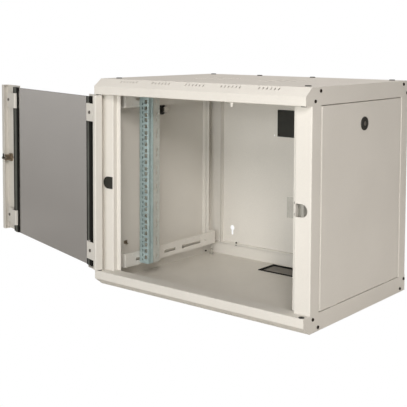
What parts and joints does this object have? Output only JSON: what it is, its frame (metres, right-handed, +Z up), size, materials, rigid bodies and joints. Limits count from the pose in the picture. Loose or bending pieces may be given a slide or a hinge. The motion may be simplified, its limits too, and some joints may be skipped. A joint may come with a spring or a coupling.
{
  "type": "wall-mount network rack cabinet",
  "caption": "Wall-mount rack cabinet with a hinged glass front door, tilting side panels, vented cover and base, and adjustable rack rails.",
  "frame": {"origin": "centre of the cabinet's underside, on the base tray's bottom face", "axes": "+X to the right seen from the front, -Y out of the front opening, +Z up; stored with the door open"},
  "size_m": [1.1603, 0.459, 0.507],
  "materials": {
    "grey_paint": "satin powder coat",
    "rail_zinc": "zinc plated",
    "zinc_plate": "zinc plated",
    "dark_screw": "black oxide",
    "black_plastic": "matte",
    "black_rubber": "matte",
    "seal_trim": "matte",
    "door_glass": "clear, lightly smoked",
    "lock_chrome": "polished",
    "lock_black": "black",
    "brass_parts": "plain"
  },
  "bodies": {
    "cabinet": {"base_screws": "dark_screw", "base_tray": "grey_paint", "bracket_nuts": "zinc_plate", "bracket_screws": "zinc_plate", "corner_plugs": "black_plastic", "cover_screws": "dark_screw", "earth_nut": "zinc_plate", "earth_stud": "zinc_plate", "entry_cover_screws": "dark_screw", "floor_entry_edging": "black_rubber", "front_left_post": "grey_paint", "front_right_post": "grey_paint", "hinge_bushes": "black_plastic", "lock_striker": "zinc_plate", "lower_left_side_bracket": "grey_paint", "lower_right_side_bracket": "grey_paint", "post_plug": "black_plastic", "rear_entry_cover": "black_plastic", "rear_left_post": "grey_paint", "rear_panel": "grey_paint", "rear_panel_screws": "dark_screw", "rear_right_post": "grey_paint", "striker_screws": "zinc_plate", "top_cover": "grey_paint", "upper_left_side_bracket": "grey_paint", "upper_right_side_bracket": "grey_paint"},
    "door": {"door_glass": "door_glass", "door_hinge_strip": "grey_paint", "door_lock_strip": "grey_paint", "hinge_side_glass_seal": "black_rubber", "lock_side_glass_seal": "black_rubber", "hinge_side_seal_trim": "seal_trim", "lock_side_seal_trim": "seal_trim", "upper_hinge_side_clamp": "grey_paint", "lower_hinge_side_clamp": "grey_paint", "upper_lock_side_clamp": "grey_paint", "lower_lock_side_clamp": "grey_paint", "clamp_screws": "zinc_plate", "door_hinge_pins": "lock_chrome", "door_lock_barrel": "brass_parts", "door_lock_nut": "brass_parts"},
    "door_lock_cylinder": {"door_lock_core": "lock_chrome", "door_lock_cam": "lock_black"},
    "left_panel": {"left_side_panel": "grey_paint", "left_panel_lock_barrel": "black_plastic", "left_panel_lock_nut": "black_plastic", "left_panel_earth_tab": "brass_parts"},
    "left_panel_cylinder": {"left_panel_lock_core": "lock_chrome", "left_panel_lock_cam": "lock_black"},
    "right_panel": {"right_side_panel": "grey_paint", "right_panel_lock_barrel": "black_plastic", "right_panel_lock_nut": "black_plastic", "right_panel_earth_tab": "brass_parts"},
    "right_panel_cylinder": {"right_panel_lock_core": "lock_chrome", "right_panel_lock_cam": "lock_black"},
    "left_rail": {"left_rack_rail": "rail_zinc", "left_rail_bolts": "zinc_plate"},
    "right_rail": {"right_rack_rail": "rail_zinc", "right_rail_bolts": "zinc_plate"}
  },
  "joints": [
    {"name": "front_door_hinge", "type": "hinge", "parent": "cabinet", "child": "door", "pos_m": [-0.291, -0.2185, 0.2525], "axis": [0, 0, 1], "range_deg": [0, 196.6]},
    {"name": "door_lock_turn", "type": "hinge", "parent": "door", "child": "door_lock_cylinder", "pos_m": [-0.82532, -0.05243, 0.2525], "axis": [-0.2857, -0.9583, 0], "range_deg": [0, 90]},
    {"name": "left_panel_tilt", "type": "hinge", "parent": "cabinet", "child": "left_panel", "pos_m": [-0.299, 0, 0.0386], "axis": [0, -1, 0], "range_deg": [0, 20]},
    {"name": "left_panel_lock_turn", "type": "hinge", "parent": "left_panel", "child": "left_panel_cylinder", "pos_m": [-0.3, 0.0132, 0.4177], "axis": [-1, 0, 0], "range_deg": [0, 90]},
    {"name": "right_panel_tilt", "type": "hinge", "parent": "cabinet", "child": "right_panel", "pos_m": [0.299, 0, 0.0386], "axis": [0, 1, 0], "range_deg": [0, 20]},
    {"name": "right_panel_lock_turn", "type": "hinge", "parent": "right_panel", "child": "right_panel_cylinder", "pos_m": [0.3, 0.0132, 0.4177], "axis": [-1, 0, 0], "range_deg": [0, 90]},
    {"name": "left_rail_slide", "type": "slide", "parent": "cabinet", "child": "left_rail", "axis": [0, 1, 0], "range_m": [-0.022, 0.015]},
    {"name": "right_rail_slide", "type": "slide", "parent": "cabinet", "child": "right_rail", "axis": [0, 1, 0], "range_m": [-0.022, 0.015]}
  ]
}
